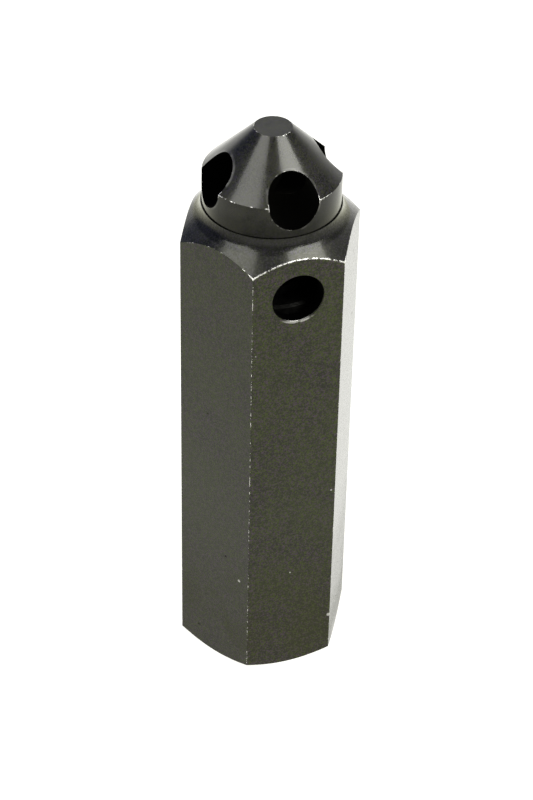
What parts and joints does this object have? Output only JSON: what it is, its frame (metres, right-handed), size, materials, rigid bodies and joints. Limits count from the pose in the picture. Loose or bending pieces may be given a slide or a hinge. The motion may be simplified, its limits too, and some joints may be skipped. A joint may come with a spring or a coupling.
{
  "type": "centre punch",
  "caption": "Hexagonal automatic centre punch with a cross-drilled blunt cone head, side access port and an internal spring hammer.",
  "frame": {"origin": "centre of the barrel's rear end face, on the tool's axis", "axes": "+Z along the tool's axis towards the tip; -Y out of the flat with the side port; +X towards a corner of the hexagon"},
  "size_m": [0.022, 0.019, 0.0738],
  "materials": {
    "oiled_black_steel": "oil-blackened machined steel with fine mottling and bright worn edges",
    "ground_steel": "ground and hardened steel",
    "spring_steel": "drawn spring steel",
    "bush_bronze": "turned bearing bronze",
    "seal_rubber": "smooth black nitrile rubber",
    "nylon": "natural nylon"
  },
  "bodies": {
    "barrel": {"barrel": "oiled_black_steel", "guide_bush": "bush_bronze", "bush_ring": "spring_steel", "dust_ring": "seal_rubber", "return_spring": "spring_steel", "plug_ring": "spring_steel"},
    "head": {"punch_head": "oiled_black_steel", "spindle": "ground_steel", "spindle_clip": "spring_steel"},
    "hammer": {"hammer": "ground_steel", "block_spring": "spring_steel"},
    "release_block": {"release_block": "ground_steel"},
    "spring_seat": {"spring_seat": "ground_steel", "main_spring": "spring_steel"},
    "adjuster": {"adjuster_plug": "oiled_black_steel", "lock_pellet": "nylon"}
  },
  "joints": [
    {"name": "head_slide", "type": "slide", "parent": "barrel", "child": "head", "axis": [0, 0, 1], "range_m": [-0.0045, 0], "stiffness_N_per_m": 5400, "springref_m": 0.003, "deforming": ["return_spring"]},
    {"name": "hammer_slide", "type": "slide", "parent": "barrel", "child": "hammer", "axis": [0, 0, 1], "range_m": [-0.0045, 0], "deforming": ["main_spring"]},
    {"name": "block_slide", "type": "slide", "parent": "hammer", "child": "release_block", "axis": [1, 0, 0], "range_m": [-0.0012, 0], "deforming": ["block_spring"]},
    {"name": "seat_slide", "type": "slide", "parent": "barrel", "child": "spring_seat", "axis": [0, 0, 1], "range_m": [0, 0.001]},
    {"name": "adjuster_turn", "type": "hinge", "parent": "spring_seat", "child": "adjuster", "pos_m": [0, 0, 0.0059], "axis": [0, 0, 1], "range_deg": [0, 360]}
  ],
  "couplings": [
    {"joint": "hammer_slide", "follows": "head_slide", "ratio": 1},
    {"joint": "block_slide", "follows": "head_slide", "ratio": 0.26667},
    {"joint": "seat_slide", "follows": "adjuster_turn", "m_per_rad": 0.00015915}
  ]
}
